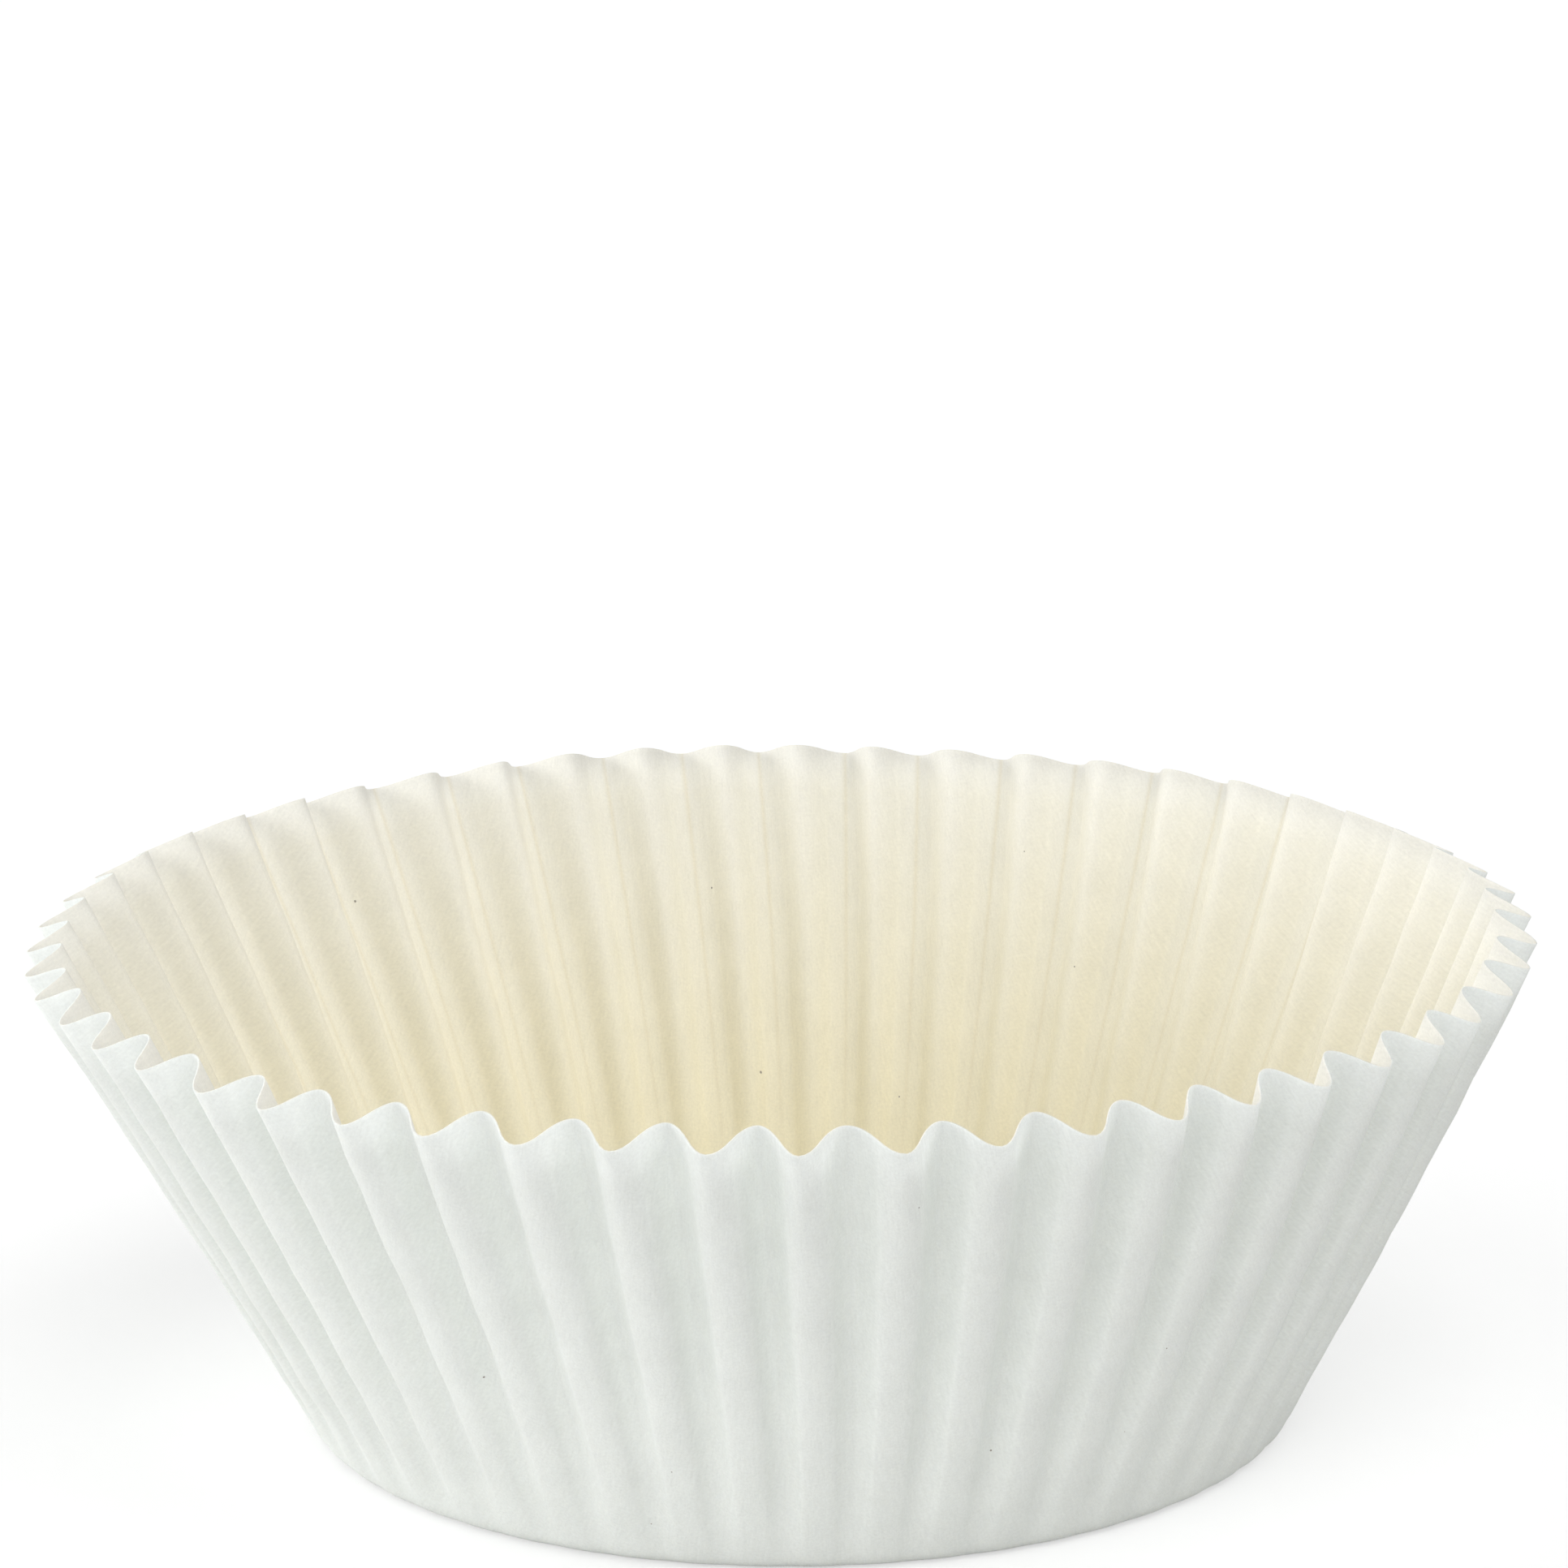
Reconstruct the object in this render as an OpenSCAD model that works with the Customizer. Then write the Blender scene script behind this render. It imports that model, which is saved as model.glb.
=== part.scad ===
// Cupcake liner: one round sheet of thin paper, pressed into a flat foot and a pleated wall.
// Paper folds but does not stretch. Every fold keeps the length that it had in the flat sheet,
// and the pleats take up the paper that the narrower cup leaves over, bar what the press crimps.
// Crests lean out further than valleys, so at the rim the valleys stand higher: the scallop.
// Millimetres, Z up, origin in the middle of the foot's underside.

/* [Foot] */
// Diameter of the flat foot, inside its bend
foot_d = 52; // [40:0.2:60]
// Radius of the bend that turns the foot up into the wall
foot_bend_r = 1.5; // [1:0.1:3]

/* [Wall] */
// Length of the paper from the flat foot to the rim, along a fold
wall_len = 31; // [22:0.1:40]
// Slope of the wall above the table, in degrees, halfway between crests and valleys
wall_angle = 65; // [52:0.1:75]

/* [Pleats] */
// Number of pleats around the wall
pleats = 52; // [36:1:60]
// Depth of the pleats, as a share of what uncrimped paper would fold to
pleat_fill = 0.93; // [0.6:0.01:1]
// Length above the flat foot over which the pleats grow towards that depth
pleat_run = 5; // [2:0.5:10]
// Width of the rounded crests, as a share of the way from a crest to a valley
crest_round = 0.6; // [0.2:0.05:0.6]
// Width of the rounded valleys, as a share of the same way
valley_round = 0.4; // [0.1:0.05:0.4]

/* [Paper] */
// Thickness of the paper
paper_t = 0.1; // [0.06:0.01:0.2]

/* [Hidden] */

foot_r = foot_d / 2;
bend_len = foot_bend_r * wall_angle * PI / 180;

// Rows of facets up the bend and up the wall, the wall's rows closer near the foot
bend_rows = 2;
wall_rows = 4;
row_growth = 1.35;

// Points across one pleat, in pleats. Down from a crest they stand in the middle of its round,
// of the flank and of the valley's round, and they climb back the same way.
way_down = [crest_round / 4, (1 + crest_round - valley_round) / 4, (2 - valley_round) / 4];
way_back = [for (i = [len(way_down) - 1:-1:0]) 1 - way_down[i]];
pleat_points = concat([0], way_down, [1 / 2], way_back, [1]);
pleat_steps = len(pleat_points) - 1;
ring_points = pleat_steps * pleats;

// Steps in which a fold's height is added up, and the small steps that find the paper's slope
fold_steps = 120;
fold_step = wall_len / fold_steps;
slope_step = 0.01;

// Below, s is the distance up a fold from the flat foot, and u the number of pleats around

// Radius halfway between a crest and a valley
function middle_r(s) = s < bend_len
    ? foot_r + foot_bend_r * sin(s / foot_bend_r * 180 / PI)
    : foot_r + foot_bend_r * sin(wall_angle) + (s - bend_len) * cos(wall_angle);

// Share of the way down that is rounded, and the part of its depth that a pleat loses by it,
// because the flanks between the rounds have to be steeper and take up more paper
rounds = crest_round + valley_round;
round_loss = 1 - (1 - rounds / 2) / sqrt(1 - 2 / 3 * rounds);

// Depth of a pleat with sharp folds: the height of a right triangle whose long side is half a
// pleat of the flat sheet, and whose base is half a pleat of the narrower ring it is folded to
function sharp_depth(s) = PI / pleats * sqrt(max(0, pow(foot_r + s, 2) - pow(middle_r(s), 2)));

// Depth of a pleat, which the press keeps shallow next to the foot
function pleat_depth(s) =
    pleat_fill * (1 - round_loss) * (1 - exp(-s / pleat_run)) * sharp_depth(s);

// Radius of the paper, w from -1 in a valley to 1 on a crest
function paper_r(s, w) = middle_r(s) + w * pleat_depth(s) / 2;

// Height of a crest, w = 1, or a valley, w = -1, added up from the foot: what a step of the
// fold doesn't use going outwards, it uses going up. A crest lies flat for its first steps.
function fold_rise(i, w) =
    let (out = paper_r((i + 1) * fold_step, w) - paper_r(i * fold_step, w))
    sqrt(max(0, pow(fold_step, 2) - pow(out, 2)));
function fold_heights(w) =
    [for (i = 0, z = 0; i <= fold_steps; z = z + fold_rise(i, w), i = i + 1) [i * fold_step, z]];
crest_heights = fold_heights(1);
valley_heights = fold_heights(-1);

// Wave of the pleats, from 1 to -1: a parabola over the crest, a straight flank, and a parabola
// in the valley
flank_fall = 2 / (1 - rounds / 2);
function wave(u) =
    let (x = 2 * abs(u - round(u)))
    x < crest_round ? 1 - flank_fall * pow(x, 2) / crest_round / 2
    : x > 1 - valley_round ? -1 + flank_fall * pow(1 - x, 2) / valley_round / 2
    : -1 + flank_fall * (1 - x - valley_round / 2);

// Point halfway through the paper
function paper(s, u) =
    let (
        w = wave(u),
        r = paper_r(s, w),
        z = ((1 + w) * lookup(s, crest_heights) + (1 - w) * lookup(s, valley_heights)) / 2,
        turn = 360 * u / pleats
    )
    [r * cos(turn), r * sin(turn), z + paper_t / 2];

function unit(v) = v / norm(v);

// Step from the middle of the paper to its outside at point i of a pleat, for a paper 1 thick.
// The facets before and after the point share one mitred step and so keep their thickness.
function outward_step(s, turn, i) =
    let (
        last_u = i == 0 ? pleat_points[pleat_steps - 1] - 1 : pleat_points[i - 1],
        here = paper(s, turn + pleat_points[i]),
        up = here - paper(s - slope_step, turn + pleat_points[i]),
        before = unit(cross(here - paper(s, turn + last_u), up)),
        after = unit(cross(paper(s, turn + pleat_points[i + 1]) - here, up))
    )
    (before + after) / (1 + before * after) / 2;

// Distances of the rows up a fold
row_s = concat(
    [for (i = [0:bend_rows]) bend_len * i / bend_rows],
    [for (i = [1:wall_rows]) bend_len + (wall_len - bend_len) * pow(i / wall_rows, row_growth)]
);

// One face of the sheet, side = 1 outside and -1 inside
function sheet_face(side) = [
    for (s = row_s, turn = [0:pleats - 1], i = [0:pleat_steps - 1])
        paper(s, turn + pleat_points[i]) + side * paper_t * outward_step(s, turn, i)
];

// Two triangles for each cell between a row of points and the next
function band(low, high) = [
    for (j = [0:ring_points - 1])
        let (k = (j + 1) % ring_points)
        each [[low + j, high + j, high + k], [low + j, high + k, low + k]]
];

module liner() {
    rows = len(row_s);
    inside = rows * ring_points;
    rim = (rows - 1) * ring_points;
    outer_skin = [for (i = [0:rows - 2]) each band(i * ring_points, (i + 1) * ring_points)];
    inner_skin = [for (i = [0:rows - 2])
        each band(inside + (i + 1) * ring_points, inside + i * ring_points)];
    foot_under = [for (j = [0:ring_points - 1]) j];
    foot_top = [for (j = [ring_points - 1:-1:0]) inside + j];

    color([0.93, 0.94, 0.91])
        polyhedron(
            points = concat(sheet_face(1), sheet_face(-1)),
            faces = concat(
                [foot_under],
                outer_skin,
                band(rim, inside + rim),
                inner_skin,
                [foot_top]
            ),
            convexity = 12
        );
}

liner();
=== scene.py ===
import math

import bpy
import numpy as np
from mathutils import Matrix, Vector


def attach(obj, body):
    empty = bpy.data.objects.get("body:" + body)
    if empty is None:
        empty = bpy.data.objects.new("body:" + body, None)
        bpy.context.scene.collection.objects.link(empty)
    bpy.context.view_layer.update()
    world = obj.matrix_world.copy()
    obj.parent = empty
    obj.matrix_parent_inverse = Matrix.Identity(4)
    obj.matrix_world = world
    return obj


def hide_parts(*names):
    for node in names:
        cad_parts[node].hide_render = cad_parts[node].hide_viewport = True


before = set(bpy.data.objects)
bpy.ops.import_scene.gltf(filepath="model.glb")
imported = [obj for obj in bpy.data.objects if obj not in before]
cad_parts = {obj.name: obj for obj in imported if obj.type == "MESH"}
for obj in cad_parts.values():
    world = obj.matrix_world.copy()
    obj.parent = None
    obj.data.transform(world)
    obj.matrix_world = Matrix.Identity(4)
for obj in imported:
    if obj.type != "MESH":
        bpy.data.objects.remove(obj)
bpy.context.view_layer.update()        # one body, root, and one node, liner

cup = {
    "footRadius": 0.026,      # flat foot, inside its bend
    "bendRadius": 0.0015,
    "wallLength": 0.031,      # paper from the flat foot to the rim
    "wallSlope": 65.0,        # degrees above the table
    "pleats": 52,
    "pleatFill": 0.8,         # share of the depth that uncrimped paper would fold to
    "pleatRun": 0.005,        # the pleats deepen over this length above the foot
    "crestRound": 0.42,       # at the rim, as a share of the way from a crest to a valley
    "valleyRound": 0.54,
    "shoulder": 0.45,         # in the wall, where the flat crest ends, as a share of that way
    "shoulderRound": 0.11,
    "crestSlope": 0.2,        # slope of the crest at its shoulders, as a share of a flank's
    "wallValley": 0.45,       # width of the rounded valley, again as a share of that way
    "rimReach": 0.0035,       # the rim's rounder wave fades into the wall's over this length
    "thickness": 0.0001,
    "columns": 24,            # points across one pleat
    "crowding": 0.5,          # 0 spaces them evenly, 1 draws them fully to the valleys
    "footRows": 4,
    "wallRows": 33,
    "rowGrowth": 1.085,       # each row up the wall is this much taller than the last
    "foldSamples": 4000,      # steps in which a fold's height is added up
    "waveSamples": 2001,      # and the points that the wall's wave is summed from
}

# How far a real cup strays from the perfect one
handling = {
    "seed": 11,
    "foldShift": 0.035,       # folds stray sideways, in pleats, at the rim
    "footShift": 0.25,        # share of that at the foot
    "depthSpread": 0.05,      # pleats differ in depth
    "roundSpread": 0.04,      # and in the roundness of their crests
    "ovalRim": 0.0004,        # the mouth is wider along one line than across it
    "ovalTurn": 14,           # degrees from X to that line
    "leanRim": (-0.00086, -0.0005),
    "footCorners": 24,        # the foot's edge is faintly cornered
    "footSpread": 0.00008,
    "rimSway": 0.00008,       # the rim rises and falls a little
    "swayWaves": (3, 7),      # so many times around
    "cockle": 0.000009,       # paper swells and dips between its folds
    "cockleWaves": 14,
    "cockleLength": (0.003, 0.009),
    "cockleStart": 0.006,     # grown to the full over this length above the foot
}


def smooth(t):
    # 3 t squared - 2 t cubed, from 0 to 1
    t = np.clip(t, 0, 1)
    return t * t * (3 - 2 * t)


def foldLines(s):
    # The middle radius follows the bend's arc, then the straight slope. A half pleat is a right
    # triangle: its long side is the half pleat of the flat sheet, its base the half pleat of
    # the narrower ring, its height the depth. Each fold climbs by what its own length leaves
    # after its way outwards, so crests, which go further out, end lower than valleys.
    slope = math.radians(cup["wallSlope"])
    bend = cup["bendRadius"]
    arc = bend * slope
    up = np.maximum(s, 0)
    radius = np.where(
        up < arc,
        cup["footRadius"] + bend * np.sin(np.minimum(up, arc) / bend),
        cup["footRadius"] + bend * math.sin(slope) + (up - arc) * math.cos(slope),
    )
    flat = cup["footRadius"] + up
    spare = np.sqrt(np.maximum(flat**2 - radius**2, 0))
    grown = 1 - np.exp(-up / cup["pleatRun"])
    depth = cup["pleatFill"] * math.pi / cup["pleats"] * spare * grown
    heights = []
    for side in (1, -1):
        out = np.diff(radius + side * depth / 2)
        rise = np.sqrt(np.maximum(np.diff(up)**2 - out**2, 0))
        heights.append(np.concatenate([[0], np.cumsum(rise)]))
    return radius, depth, heights[0], heights[1]


def rimWaveOf(x, crest):
    # x runs from -1 to 1 across a pleat: a parabola over the crest at 0, straight flanks, and
    # a parabola in the valleys at -1 and 1; the wave goes from 1 down to -1
    x, valley = np.abs(x), cup["valleyRound"]
    fall = 2 / (1 - crest / 2 - valley / 2)
    onCrest = 1 - fall * x * x / crest / 2
    onFlank = 1 - fall * crest / 2 - fall * (x - crest)
    inValley = -1 + fall * (1 - x)**2 / valley / 2
    return np.where(x < crest, onCrest, np.where(x > 1 - valley, inValley, onFlank))


def wallWaveOf(x):
    # The wave in the wall is summed up from its slope: that grows evenly over the flat crest,
    # rises to the flank's across the shoulder, and falls evenly to 0 in the rounded valley
    fine = np.linspace(0, 1, cup["waveSamples"])
    flank = smooth((fine - cup["shoulder"]) / cup["shoulderRound"] / 2 + 0.5)
    slope = cup["crestSlope"] * fine / cup["shoulder"] * (1 - flank) + flank
    slope = slope * np.clip((1 - fine) / cup["wallValley"], 0, 1)
    fallen = np.concatenate([[0], np.cumsum(slope[1:] + slope[:-1])])
    return 1 - 2 * np.interp(np.abs(x), fine, fallen / fallen[-1])


def aroundCup(values, u):
    # Straight steps between one value for each pleat, closed around the cup
    count = len(values)
    return np.interp(u % count, np.arange(count + 1), np.append(values, values[0]))


def cupSheet():
    # The middle of the paper as a grid of rows up the cup and columns around it. A column is
    # a number of pleats u around the cup, and a row is a distance s up a fold, less than 0 on
    # the foot. Radius and height lie between those of the valley and the crest as the wave says.
    rng = np.random.default_rng(handling["seed"])
    count = cup["pleats"]
    t = np.arange(cup["columns"]) / cup["columns"] * 2 - 1
    across = t + cup["crowding"] * np.sin(np.pi * t) / np.pi
    u = (np.arange(count)[:, None] + across[None, :] / 2).ravel()
    x = np.tile(across, count)

    steps = cup["rowGrowth"] ** np.arange(cup["wallRows"])
    wallS = np.concatenate([[0], np.cumsum(steps) / steps.sum()]) * cup["wallLength"]
    footPart = 1 - (1 - np.arange(1, cup["footRows"] + 1) / (cup["footRows"] + 1))**2
    footS = (footPart - 1) * cup["footRadius"]
    s = np.concatenate([footS, wallS])[:, None]

    fine = np.linspace(0, cup["wallLength"], cup["foldSamples"])
    fineRadius, fineDepth, fineCrest, fineValley = foldLines(fine)
    radius = np.interp(s, fine, fineRadius) + np.minimum(s, 0)
    depth = np.interp(s, fine, fineDepth)
    crestZ = np.interp(s, fine, fineCrest)
    valleyZ = np.interp(s, fine, fineValley)

    high = np.clip(s / cup["wallLength"], 0, 1)**2
    pleat = np.round(u).astype(int) % count
    rounds = cup["crestRound"] + handling["roundSpread"] * rng.uniform(-1, 1, count)
    atRim = np.exp((s - cup["wallLength"]) / cup["rimReach"])
    wave = atRim * rimWaveOf(x, rounds[pleat]) + (1 - atRim) * wallWaveOf(x)
    folds = rng.normal(0, handling["foldShift"], 2 * count)
    atFold = handling["footShift"] + (1 - handling["footShift"]) * high
    shift = aroundCup(folds, u * 2)[None, :] * atFold
    deeper = aroundCup(rng.normal(0, handling["depthSpread"], 2 * count), u * 2)[None, :]
    angle = 2 * np.pi * (u[None, :] + shift) / count

    r = radius + wave * depth / 2 * (1 + deeper)
    z = (valleyZ * (1 - wave) + crestZ * (1 + wave)) / 2
    phases = rng.uniform(0, 2 * np.pi, 2)
    oval = np.cos(2 * (angle - math.radians(handling["ovalTurn"])))
    r = r + handling["ovalRim"] * high * oval
    corners = rng.uniform(-1, 1, handling["footCorners"]) * handling["footSpread"]
    atFoot = np.exp(-((s - cup["bendRadius"]) / cup["bendRadius"] / 2)**2)
    r = r + aroundCup(corners, u * handling["footCorners"] / count)[None, :] * atFoot
    sway = sum(np.sin(k * angle + phase) for k, phase in zip(handling["swayWaves"], phases))
    z = z + handling["rimSway"] * high * sway

    sheet = np.stack([
        r * np.cos(angle) + handling["leanRim"][0] * high,
        r * np.sin(angle) + handling["leanRim"][1] * high,
        z * np.ones_like(angle),
    ], axis=-1)

    # Where each point lay in the flat sheet
    flatAngle = 2 * np.pi * u[None, :] / count
    flatRadius = cup["footRadius"] + s
    flat = np.stack([flatRadius * np.cos(flatAngle), flatRadius * np.sin(flatAngle)], axis=-1)
    lengths = rng.uniform(*handling["cockleLength"], handling["cockleWaves"])
    ways = rng.uniform(0, 2 * np.pi, handling["cockleWaves"])
    starts = rng.uniform(0, 2 * np.pi, handling["cockleWaves"])
    swell = sum(
        np.sin((flat[..., 0] * math.cos(way) + flat[..., 1] * math.sin(way))
               * 2 * np.pi / length + start)
        for length, way, start in zip(lengths, ways, starts)
    )
    swell = swell * handling["cockle"] * smooth(s / handling["cockleStart"])
    sheet = sheet + squareTo(sheet) * swell[..., None]
    sheet[..., 2] += cup["thickness"] / 2

    share = np.clip(s / cup["wallLength"], -1, 1) * np.ones_like(angle)
    return sheet, flat, share, np.abs(x)


def squareTo(sheet):
    # Unit directions square to the sheet, outwards: the step around the cup crossed with the
    # step up it, both taken from the neighbouring points
    around = np.roll(sheet, -1, axis=1) - np.roll(sheet, 1, axis=1)
    up = np.gradient(sheet, axis=0)
    n = np.cross(around, up)
    return n / np.maximum(np.linalg.norm(n, axis=-1, keepdims=True), 1e-12)


def gridCells(low, high, count):
    # Four corners of each cell between two rings of points
    k = np.arange(count)
    nextK = (k + 1) % count
    return np.stack([low + k, low + nextK, high + nextK, high + k], axis=1)


def makeCup():
    # Both faces of the paper stand half its thickness from the middle sheet. The cells between
    # rows, a cut edge at the rim and a fan at the middle of the foot close the shell.
    sheet, flat, share, across = cupSheet()
    rows, count = sheet.shape[:2]
    out = squareTo(sheet) * cup["thickness"] / 2
    out[:cup["footRows"] + 1] = (0, 0, -cup["thickness"] / 2)
    faces = [sheet + out, sheet - out]
    points = np.concatenate([f.reshape(-1, 3) for f in faces]
                            + [np.array([[0, 0, 0], [0, 0, cup["thickness"]]])])
    inside = rows * count
    quads = []
    for row in range(rows - 1):
        quads.append(gridCells(row * count, (row + 1) * count, count))
        inner = gridCells(inside + row * count, inside + (row + 1) * count, count)
        quads.append(inner[:, ::-1])
    rim = (rows - 1) * count
    quads.append(gridCells(rim, inside + rim, count))
    quads = np.concatenate(quads)
    k = np.arange(count)
    under = np.stack([np.full(count, 2 * inside), (k + 1) % count, k], axis=1)
    top = np.stack(
        [np.full(count, 2 * inside + 1), inside + k, inside + (k + 1) % count], axis=1)

    mesh = bpy.data.meshes.new("paperCup")
    mesh.from_pydata(points.tolist(), [], quads.tolist() + under.tolist() + top.tolist())
    mesh.shade_smooth()

    def pointValue(name, values):
        layer = mesh.attributes.new(name, "FLOAT", "POINT")
        layer.data.foreach_set("value", values.astype(np.float32))

    twice = np.tile(share.ravel(), 2)
    pointValue("inside", np.concatenate([np.zeros(inside), np.ones(inside), [0, 1]]))
    pointValue("rise", np.concatenate([twice, [-1, -1]]))
    pointValue("across", np.concatenate([np.tile(across, 2 * rows), [0, 0]]))
    sheetSpan = 2 * (cup["footRadius"] + cup["wallLength"])
    spots = np.concatenate([np.tile(flat.reshape(-1, 2), (2, 1)), np.zeros((2, 2))])
    uv = spots / sheetSpan + 0.5
    loops = np.zeros(len(mesh.loops), np.int32)
    mesh.loops.foreach_get("vertex_index", loops)
    layer = mesh.uv_layers.new(name="flatSheet")
    layer.data.foreach_set("uv", uv[loops].astype(np.float32).ravel())

    piece = bpy.data.objects.new("paper_cup", mesh)
    bpy.context.scene.collection.objects.link(piece)
    print("cup mesh:", len(points), "points,", 2 * len(quads) + 2 * count, "triangles")
    return piece


# Materials
paper = {
    "outside": (0.882, 0.913, 0.88),
    # The inside's cream is painted warm bounce light, and deep is painted warm shade towards its
    # foot
    "inside": (0.905, 0.888, 0.808),
    "deep": (0.885, 0.82, 0.61),        # painted warm shade towards the foot of the inside
    "deepFade": (0.9, 0.1),   # the shares of the wall between which the painted shade deepens
    "foldShade": (0.80, 0.73, 0.55),      # painted shade in the folds of the inside
    "foldShadeShare": 0.4,
    "ridgeHighlight": 0.022,       # painted highlight: the crests' shoulders are lighter by this share
    "valleyShade": 0.025,      # and painted shade makes the bottoms of the valleys darker
    "edgeHighlight": 0.035,        # painted highlight: the cut edge is lighter
    "cloudTone": 0.09,        # spread of the paper's tone
    "cloudRange": (0.3, 0.7), # the noise values that it spreads over
    "fleck": (0.34, 0.31, 0.27),
    "roughness": 0.82,
    "roughnessSpread": 0.08,
    "specular": 0.3,
    "subsurface": 0.12,
    "subsurfaceReach": 0.0004,
    "subsurfaceRadius": (1.0, 0.9, 0.7),
    "cloud": 0.28,            # cycles a millimetre
    "fibre": 6.0,
    "fibreTurns": (0.5, -0.9),          # radians, of the two layers
    "fibreStretch": 0.16,     # width of a fibre over its length
    "grain": 6.5,
    "pressLine": 4.5,
    "pressLineWidth": 9.0,    # how fast the lines change on their way around
    "fleckEvery": 15.0,       # millimetres
    "fleckSize": 0.11,
    "fleckFade": 0.35,        # soft edge, as a share of a fleck
    "bump": 0.00003,
    "bumpStrength": 0.5,
    "cloudWeight": 0.25,      # of clouds in the tone, fibres and grain share the rest evenly
    "lineWeight": 0.35,       # of the press lines in the relief
}


def newGroup(name, inputs, outputs):
    # A shader group with its input and output nodes
    group = bpy.data.node_groups.new(name, "ShaderNodeTree")
    for label, kind, value in inputs:
        socket = group.interface.new_socket(label, in_out="INPUT", socket_type=kind)
        if value is not None:
            socket.default_value = value
    for label, kind in outputs:
        group.interface.new_socket(label, in_out="OUTPUT", socket_type=kind)
    return group, group.nodes.new("NodeGroupInput"), group.nodes.new("NodeGroupOutput")


def addNode(tree, kind, links=None, **values):
    # One node: values that name a socket set it, the others set the node itself
    node = tree.nodes.new(kind)
    for key, value in values.items():
        if key in node.inputs:
            node.inputs[key].default_value = value
        else:
            setattr(node, key, value)
    for key, source in (links or {}).items():
        tree.links.new(source, node.inputs[key])
    return node


def calc(tree, operation, a, b=0.0, c=0.0):
    # One step of arithmetic on sockets and numbers
    node = tree.nodes.new("ShaderNodeMath")
    node.operation = operation
    for socket, value in zip(node.inputs, (a, b, c)):
        if isinstance(value, bpy.types.NodeSocket):
            tree.links.new(value, socket)
        else:
            socket.default_value = value
    return node.outputs[0]


def ramp(tree, value, low, high, toLow=0.0, toHigh=1.0):
    # value from low to high becomes toLow to toHigh, and stays there beyond
    node = addNode(tree, "ShaderNodeMapRange", {"Value": value})
    numbers = {"From Min": low, "From Max": high, "To Min": toLow, "To Max": toHigh}
    for name, number in numbers.items():
        node.inputs[name].default_value = number
    return node.outputs["Result"]


def blend(tree, share, first, second):
    # first where share is 0, second where it is 1
    node = addNode(tree, "ShaderNodeMix", data_type="RGBA")
    # Sockets 6 and 7 are the two colours
    for key, value in (("Factor", share), (6, first), (7, second)):
        socket = node.inputs[key]
        if isinstance(value, bpy.types.NodeSocket):
            tree.links.new(value, socket)
        else:
            socket.default_value = value if isinstance(value, float) else (*value, 1)
    return node.outputs[2]


def fibreGroup():
    # Paper on the flat sheet in millimetres: clouds where it is thicker, two layers of crossed
    # fibres, fine grain, and the fine lines around the sheet that the press leaves
    group, start, end = newGroup("paperFibre", [
        ("Sheet", "NodeSocketVector", None),
        ("Cloud Scale", "NodeSocketFloat", 0.3),
        ("Fibre Scale", "NodeSocketFloat", 6.0),
        ("Grain Scale", "NodeSocketFloat", 6.5),
        ("Line Scale", "NodeSocketFloat", 4.0),
    ], [("Tone", "NodeSocketFloat"), ("Height", "NodeSocketFloat")])
    sheet = start.outputs["Sheet"]

    cloud = addNode(group, "ShaderNodeTexNoise", {
        "Vector": sheet, "Scale": start.outputs["Cloud Scale"],
    }, Detail=4.0, Roughness=0.55)
    layers = []
    for turn in paper["fibreTurns"]:
        along = addNode(group, "ShaderNodeMapping", {"Vector": sheet}, vector_type="POINT",
                        Scale=(1.0, paper["fibreStretch"], 1.0), Rotation=(0, 0, turn))
        fibre = addNode(group, "ShaderNodeTexNoise", {
            "Vector": along.outputs["Vector"], "Scale": start.outputs["Fibre Scale"],
        }, Detail=3.0, Roughness=0.6, Distortion=0.5)
        layers.append(fibre.outputs["Fac"])
    fibres = calc(group, "MAXIMUM", *layers)
    grain = addNode(group, "ShaderNodeTexNoise", {
        "Vector": sheet, "Scale": start.outputs["Grain Scale"],
    }, Detail=2.0, Roughness=0.5)

    reach = addNode(group, "ShaderNodeVectorMath", {0: sheet}, operation="LENGTH")
    way = addNode(group, "ShaderNodeVectorMath", {0: sheet}, operation="NORMALIZE")
    wide = addNode(group, "ShaderNodeVectorMath", {0: way.outputs["Vector"]}, operation="SCALE")
    wide.inputs["Scale"].default_value = paper["pressLineWidth"]
    lift = addNode(group, "ShaderNodeCombineXYZ", {"Z": reach.outputs["Value"]})
    ring = addNode(group, "ShaderNodeVectorMath", {
        0: wide.outputs["Vector"], 1: lift.outputs["Vector"],
    }, operation="ADD")
    line = addNode(group, "ShaderNodeTexNoise", {
        "Vector": ring.outputs["Vector"], "Scale": start.outputs["Line Scale"],
    }, Detail=1.0, Roughness=0.4)

    half = calc(group, "MULTIPLY", fibres, 0.5)
    fine = calc(group, "MULTIPLY_ADD", grain.outputs["Fac"], 0.5, half)
    most = calc(group, "MULTIPLY", fine, 1 - paper["cloudWeight"])
    tone = calc(group, "MULTIPLY_ADD", cloud.outputs["Fac"], paper["cloudWeight"], most)
    raised = calc(group, "MULTIPLY", layers[0], 0.5)
    relief = calc(group, "MULTIPLY_ADD", grain.outputs["Fac"], 0.5, raised)
    height = calc(group, "MULTIPLY_ADD", line.outputs["Fac"], paper["lineWeight"], relief)
    group.links.new(tone, end.inputs["Tone"])
    group.links.new(height, end.inputs["Height"])
    return group


# Where the painted shade and highlights on the folds lie: across a pleat from a crest, 0, to a
# valley, 1, and up the wall from the foot, 0, to the rim, 1
foldShading = {
    "crestWidth": 0.12,
    "valleyFrom": 0.86,
    "ridgeWidth": 0.09,
    "onWall": (0.02, 0.35),   # the painted shade and highlights grow to their full strength between these
    "edge": (0.993, 0.999),
    "softness": 1.5,
}


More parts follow.
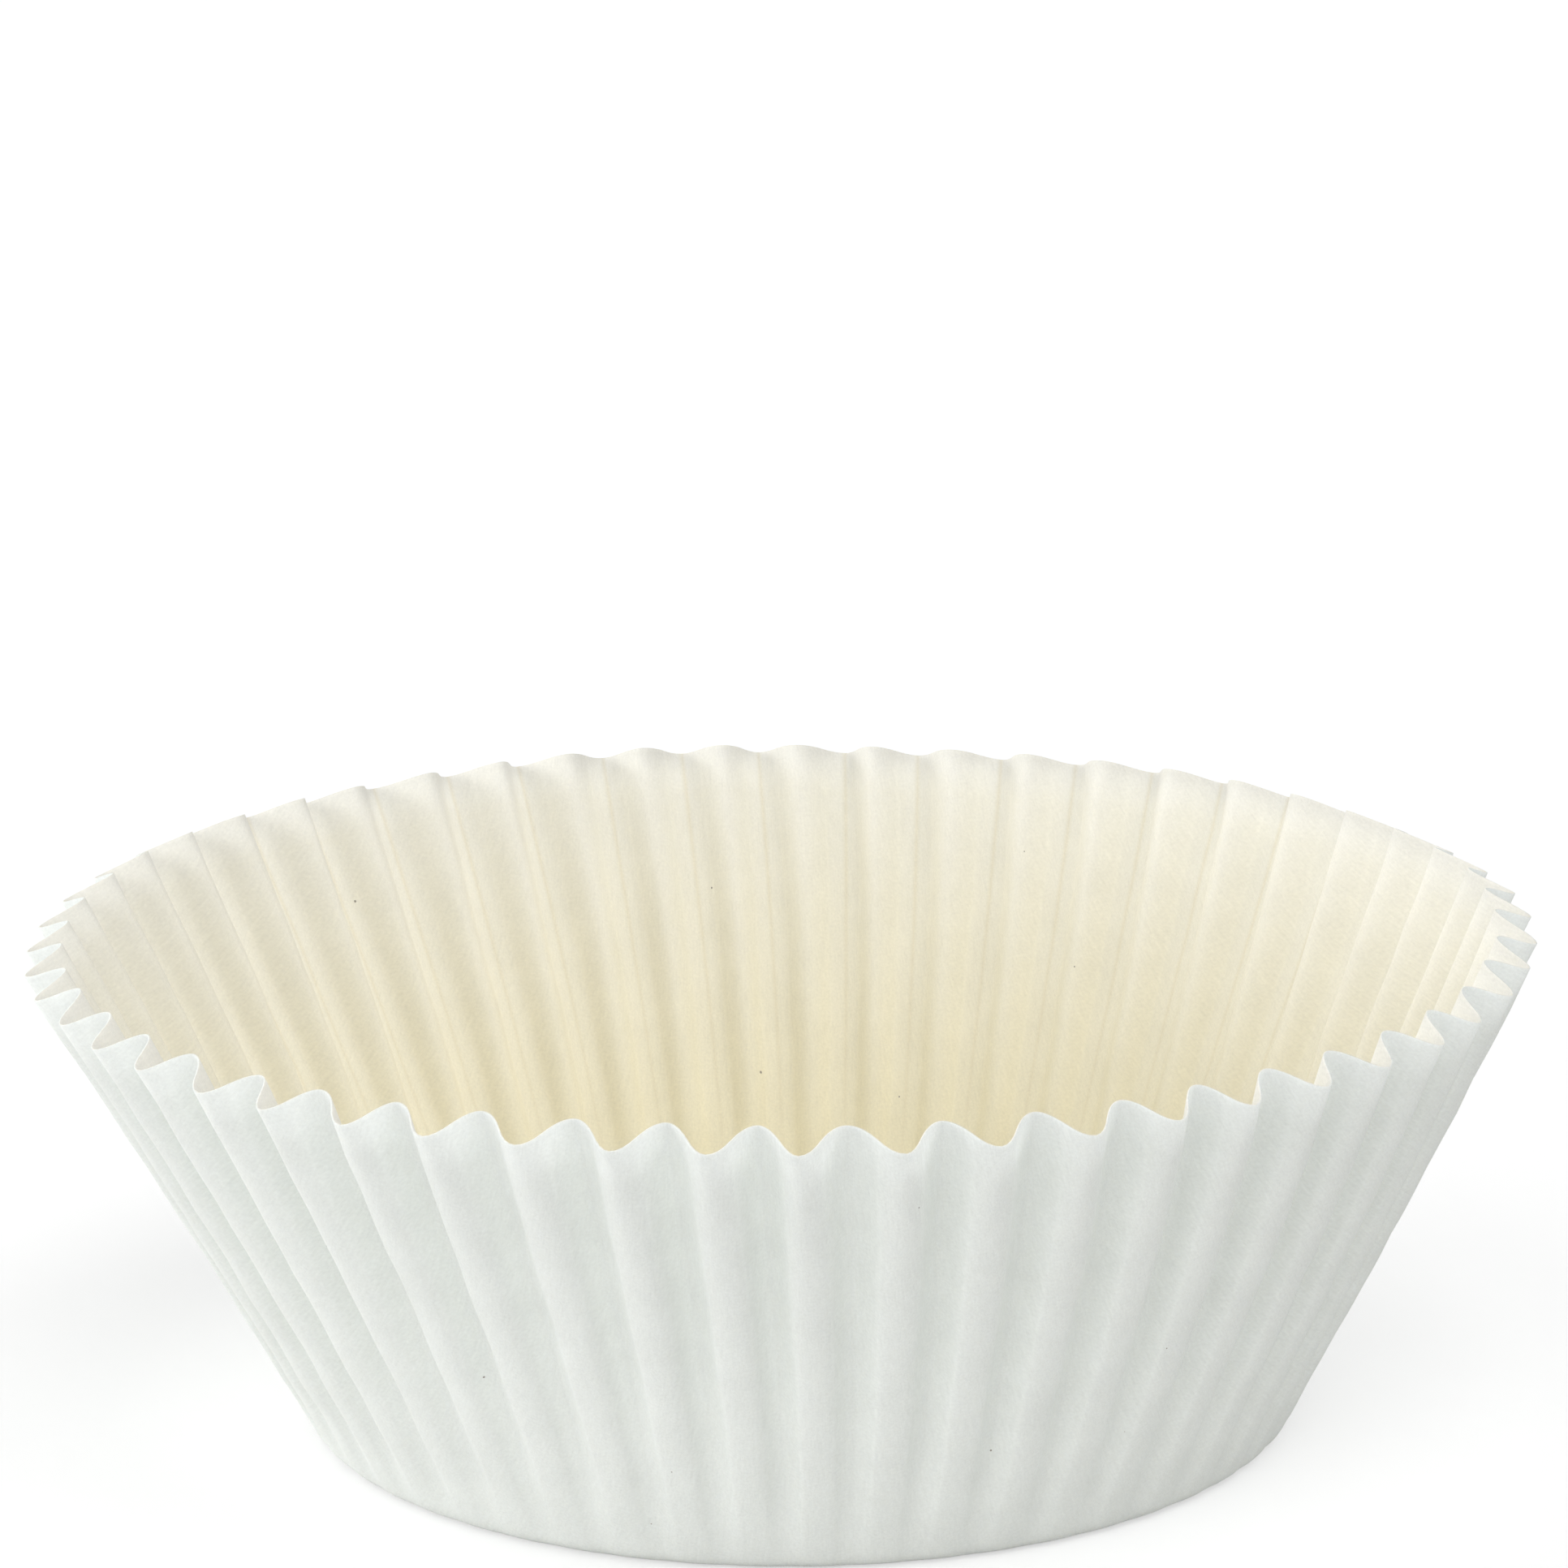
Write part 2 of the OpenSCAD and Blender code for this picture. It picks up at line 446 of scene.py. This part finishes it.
def foldGroup():
    # Across is 0 on a crest's line and 1 on a valley's, Rise 0 at the foot and 1 at the rim.
    # Crest and Valley are narrow lines on the folds, Ridge the two shoulders of a flat crest,
    # Edge the paper's cut edge at the rim: masks for painted shade and painted highlights.
    group, start, end = newGroup("foldLines", [
        ("Across", "NodeSocketFloat", 0.0),
        ("Rise", "NodeSocketFloat", 0.0),
        ("Shoulder", "NodeSocketFloat", 0.45),
    ], [("Crest", "NodeSocketFloat"), ("Valley", "NodeSocketFloat"), ("Ridge", "NodeSocketFloat"),
        ("Edge", "NodeSocketFloat")])
    across, rise = start.outputs["Across"], start.outputs["Rise"]
    onWall = ramp(group, rise, *foldShading["onWall"])
    away = calc(group, "ABSOLUTE", calc(group, "SUBTRACT", across, start.outputs["Shoulder"]))
    lines = {
        "Crest": ramp(group, across, foldShading["crestWidth"], 0.0),
        "Valley": ramp(group, across, foldShading["valleyFrom"], 1.0),
        "Ridge": ramp(group, away, foldShading["ridgeWidth"], 0.0),
    }
    for name, line in lines.items():
        soft = calc(group, "POWER", line, foldShading["softness"])
        group.links.new(calc(group, "MULTIPLY", soft, onWall), end.inputs[name])
    group.links.new(ramp(group, rise, *foldShading["edge"]), end.inputs["Edge"])
    return group


def fleckGroup():
    # A few specks in the sheet: one to a cell of the given width, of uneven size
    group, start, end = newGroup("fleckSpots", [
        ("Sheet", "NodeSocketVector", None),
        ("Every", "NodeSocketFloat", 12.0),
        ("Size", "NodeSocketFloat", 0.1),
    ], [("Mask", "NodeSocketFloat")])
    pace = calc(group, "DIVIDE", 1.0, start.outputs["Every"])
    cells = addNode(group, "ShaderNodeTexVoronoi", {
        "Vector": start.outputs["Sheet"], "Scale": pace,
    }, voronoi_dimensions="2D", Randomness=1.0)
    part = addNode(group, "ShaderNodeSeparateColor", {"Color": cells.outputs["Color"]})
    size = calc(group, "MULTIPLY", start.outputs["Size"], part.outputs["Red"])
    away = calc(group, "MULTIPLY", cells.outputs["Distance"], start.outputs["Every"])
    # 0.001 keeps a fleck of no size from a division by 0
    outwards = calc(group, "DIVIDE", away, calc(group, "MAXIMUM", size, 0.001))
    inSpot = calc(group, "SUBTRACT", 1.0, outwards)
    group.links.new(ramp(group, inSpot, 0.0, paper["fleckFade"]), end.inputs["Mask"])
    return group


def makePaper():
    material = bpy.data.materials.new("bakingPaper")
    material.use_nodes = True
    tree = material.node_tree
    shader = tree.nodes["Principled BSDF"]
    shader.inputs["Specular IOR Level"].default_value = paper["specular"]
    shader.inputs["Subsurface Weight"].default_value = paper["subsurface"]
    shader.inputs["Subsurface Scale"].default_value = paper["subsurfaceReach"]
    shader.inputs["Subsurface Radius"].default_value = paper["subsurfaceRadius"]

    # The flat sheet in millimetres from its middle
    sheetMap = addNode(tree, "ShaderNodeUVMap", uv_map="flatSheet")
    span = 2000 * (cup["footRadius"] + cup["wallLength"])
    sheet = addNode(tree, "ShaderNodeVectorMath", {0: sheetMap.outputs["UV"]},
                    operation="MULTIPLY_ADD")
    sheet.inputs[1].default_value = (span, span, 0)
    sheet.inputs[2].default_value = (-span / 2, -span / 2, 0)
    sheet = sheet.outputs["Vector"]
    inside, rise, across = (
        addNode(tree, "ShaderNodeAttribute", attribute_name=name).outputs["Fac"]
        for name in ("inside", "rise", "across")
    )

    fibre = addNode(tree, "ShaderNodeGroup", node_tree=fibreGroup())
    tree.links.new(sheet, fibre.inputs["Sheet"])
    scales = {
        "Cloud Scale": "cloud", "Fibre Scale": "fibre",
        "Grain Scale": "grain", "Line Scale": "pressLine",
    }
    for socket, name in scales.items():
        fibre.inputs[socket].default_value = paper[name]
    folds = addNode(tree, "ShaderNodeGroup", node_tree=foldGroup())
    tree.links.new(across, folds.inputs["Across"])
    tree.links.new(rise, folds.inputs["Rise"])
    folds.inputs["Shoulder"].default_value = cup["shoulder"]
    flecks = addNode(tree, "ShaderNodeGroup", node_tree=fleckGroup())
    tree.links.new(sheet, flecks.inputs["Sheet"])
    flecks.inputs["Every"].default_value = paper["fleckEvery"]
    flecks.inputs["Size"].default_value = paper["fleckSize"]
    crest, valley, ridge, edge = (
        folds.outputs[name] for name in ("Crest", "Valley", "Ridge", "Edge"))

    # The inside is creamier as painted warm bounce light, with painted shade deepening it towards
    # the foot and in its folds
    inner = blend(tree, ramp(tree, rise, *paper["deepFade"]), paper["inside"], paper["deep"])
    # Painted shade in the inner creases, along the crest lines seen from the inside
    creaseShade = calc(tree, "MULTIPLY", crest, paper["foldShadeShare"])
    inner = blend(tree, creaseShade, inner, paper["foldShade"])
    body = blend(tree, inside, paper["outside"], inner)

    # Painted highlights on the ridges and edge, painted shade in the valleys of the outside, and
    # the paper's own uneven tone
    tone = ramp(tree, fibre.outputs["Tone"], *paper["cloudRange"],
                1 - paper["cloudTone"], 1 + paper["cloudTone"])
    outside = calc(tree, "SUBTRACT", 1.0, inside)
    # Painted shade along the bottoms of the outside's valleys
    outerValley = calc(tree, "MULTIPLY", valley, outside)
    valleyShading = calc(tree, "MULTIPLY", outerValley, -paper["valleyShade"])
    # Painted highlight along the rim's cut edge
    edgeLight = calc(tree, "MULTIPLY", edge, paper["edgeHighlight"])
    # Painted highlight on the crests' shoulders, added to the edge's
    highlights = calc(tree, "MULTIPLY_ADD", ridge, paper["ridgeHighlight"], edgeLight)
    change = calc(tree, "ADD", 1.0, calc(tree, "ADD", valleyShading, highlights))
    tone = calc(tree, "MULTIPLY", tone, change)
    toned = addNode(tree, "ShaderNodeVectorMath", {0: body, 1: tone}, operation="MULTIPLY")
    color = blend(tree, flecks.outputs["Mask"], toned.outputs["Vector"], paper["fleck"])
    tree.links.new(color, shader.inputs["Base Color"])

    spread = paper["roughnessSpread"]
    rough = ramp(tree, fibre.outputs["Tone"], 0.0, 1.0,
                 paper["roughness"] - spread, paper["roughness"] + spread)
    tree.links.new(rough, shader.inputs["Roughness"])
    bump = addNode(tree, "ShaderNodeBump", {"Height": fibre.outputs["Height"]},
                   Strength=paper["bumpStrength"], Distance=paper["bump"])
    tree.links.new(bump.outputs["Normal"], shader.inputs["Normal"])
    return material


# Studio: a pale floor, soft suns and a white surround
studio = {
    "floorRadius": 3.0,
    "floorCorners": 96,
    "floorSeen": 0.6,         # the camera sees this much of the light on the floor
    "floorGlow": 0.5,         # and this much white of its own
    "floorLit": (0.735, 0.728, 0.718),
    "surround": 0.03,
    "suns": [
        # Name, degrees left of the camera, degrees up, strength, width in degrees. The last two
        # are for the inside and the back, but brighten the floor too and so the whole wall.
        ("leftBehind", 122, 10, 1.0, 35),
        ("left", 84, 10, 0.8, 36),
        ("leftFront", 43, 10, 1.06, 48),
        ("front", -15, 10, 0.6, 42),
        ("highFront", 0, 45, 0.35, 30),
        ("highLeft", 100, 45, 0.41, 30),
        ("highRight", -76, 45, 0.85, 60),
        ("top", -50, 72, 0.8, 40),
        ("behind", 180, 12, 0.62, 60),
    ],
}

# The camera as it stood: the foot's middle in the camera's own frame, and its tilt and roll
photo = {
    "width": 1932,
    "focalPixels": 8855.0,
    "footInView": (0.000962, -0.03416, 0.400),    # right, up, ahead
    "tilt": 14.57,
    "roll": -0.69,
    "turn": -1.63,
    "sensorWidth": 36,                            # millimetres
    "near": 0.01,
    "far": 20,
}


def seenMask(tree):
    # 1 where the camera, a mirror or clear glass looks straight at the surface
    path = tree.nodes.new("ShaderNodeLightPath")
    seen = path.outputs["Is Camera Ray"]
    for name in ("Is Glossy Ray", "Is Transmission Ray"):
        links = {0: seen, 1: path.outputs[name]}
        seen = addNode(tree, "ShaderNodeMath", links, operation="MAXIMUM").outputs[0]
    return seen


def makeFloor():
    count = studio["floorCorners"]
    turn = np.linspace(0, 2 * np.pi, count, endpoint=False)
    ring = np.stack([np.cos(turn), np.sin(turn), np.zeros(count)], axis=1) * studio["floorRadius"]
    mesh = bpy.data.meshes.new("floor")
    mesh.from_pydata(ring.tolist(), [], [list(range(count))])
    floor = bpy.data.objects.new("floor", mesh)
    bpy.context.scene.collection.objects.link(floor)
    material = bpy.data.materials.new("floorPaint")
    material.use_nodes = True
    tree = material.node_tree
    shader = tree.nodes["Principled BSDF"]
    shader.inputs["Roughness"].default_value = 1.0
    shader.inputs["Specular IOR Level"].default_value = 0.0
    seen = seenMask(tree)
    mix = addNode(tree, "ShaderNodeMix", {"Factor": seen}, data_type="RGBA")
    mix.inputs[6].default_value = (*studio["floorLit"], 1)
    mix.inputs[7].default_value = (*[studio["floorSeen"]] * 3, 1)
    tree.links.new(mix.outputs[2], shader.inputs["Base Color"])
    glow = addNode(tree, "ShaderNodeMath", {0: seen}, operation="MULTIPLY")
    glow.inputs[1].default_value = studio["floorGlow"]
    shader.inputs["Emission Color"].default_value = (1, 1, 1, 1)
    tree.links.new(glow.outputs[0], shader.inputs["Emission Strength"])
    mesh.materials.append(material)


def makeLights():
    world = bpy.data.worlds.new("surround")
    bpy.context.scene.world = world
    world.use_nodes = True
    tree = world.node_tree
    back = tree.nodes["Background"]
    back.inputs["Color"].default_value = (1, 1, 1, 1)
    level = addNode(tree, "ShaderNodeMapRange", {"Value": seenMask(tree)})
    level.inputs["To Min"].default_value = studio["surround"]
    level.inputs["To Max"].default_value = 1.0
    tree.links.new(level.outputs["Result"], back.inputs["Strength"])
    for name, left, up, strength, width in studio["suns"]:
        light = bpy.data.lights.new(name, "SUN")
        light.energy = strength
        light.angle = math.radians(width)
        a, e = math.radians(left), math.radians(up)
        towards = Vector((-math.sin(a) * math.cos(e), -math.cos(a) * math.cos(e), math.sin(e)))
        lamp = bpy.data.objects.new(name, light)
        lamp.rotation_euler = towards.to_track_quat("Z", "Y").to_euler()
        bpy.context.scene.collection.objects.link(lamp)


def makeCamera():
    # Ahead is tilted down, right and up are rolled about it; the camera stands where the foot's
    # middle comes out at its place in the view
    tilt, roll = math.radians(photo["tilt"]), math.radians(photo["roll"])
    ahead = Vector((0, math.cos(tilt), -math.sin(tilt)))
    up = Vector((0, math.sin(tilt), math.cos(tilt)))
    right = Vector((1, 0, 0))
    right, up = (right * math.cos(roll) + up * math.sin(roll),
                 up * math.cos(roll) - right * math.sin(roll))
    x, y, dist = photo["footInView"]
    place = -(right * x + up * y + ahead * dist)
    pose = Matrix((right, up, -ahead)).transposed().to_4x4()
    pose.translation = place
    data = bpy.data.cameras.new("camera")
    data.sensor_width = photo["sensorWidth"]
    data.lens = photo["focalPixels"] * data.sensor_width / photo["width"]
    data.clip_start, data.clip_end = photo["near"], photo["far"]
    camera = bpy.data.objects.new("camera", data)
    camera.matrix_world = Matrix.Rotation(math.radians(photo["turn"]), 4, "Z") @ pose
    bpy.context.scene.collection.objects.link(camera)
    bpy.context.scene.camera = camera


bpy.context.scene.view_settings.view_transform = "Standard"
makeFloor()
makeLights()
makeCamera()
print("studio ready")

paperCup = makeCup()
paperCup.data.materials.append(makePaper())
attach(paperCup, "root")
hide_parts("liner")
print("cup ready")
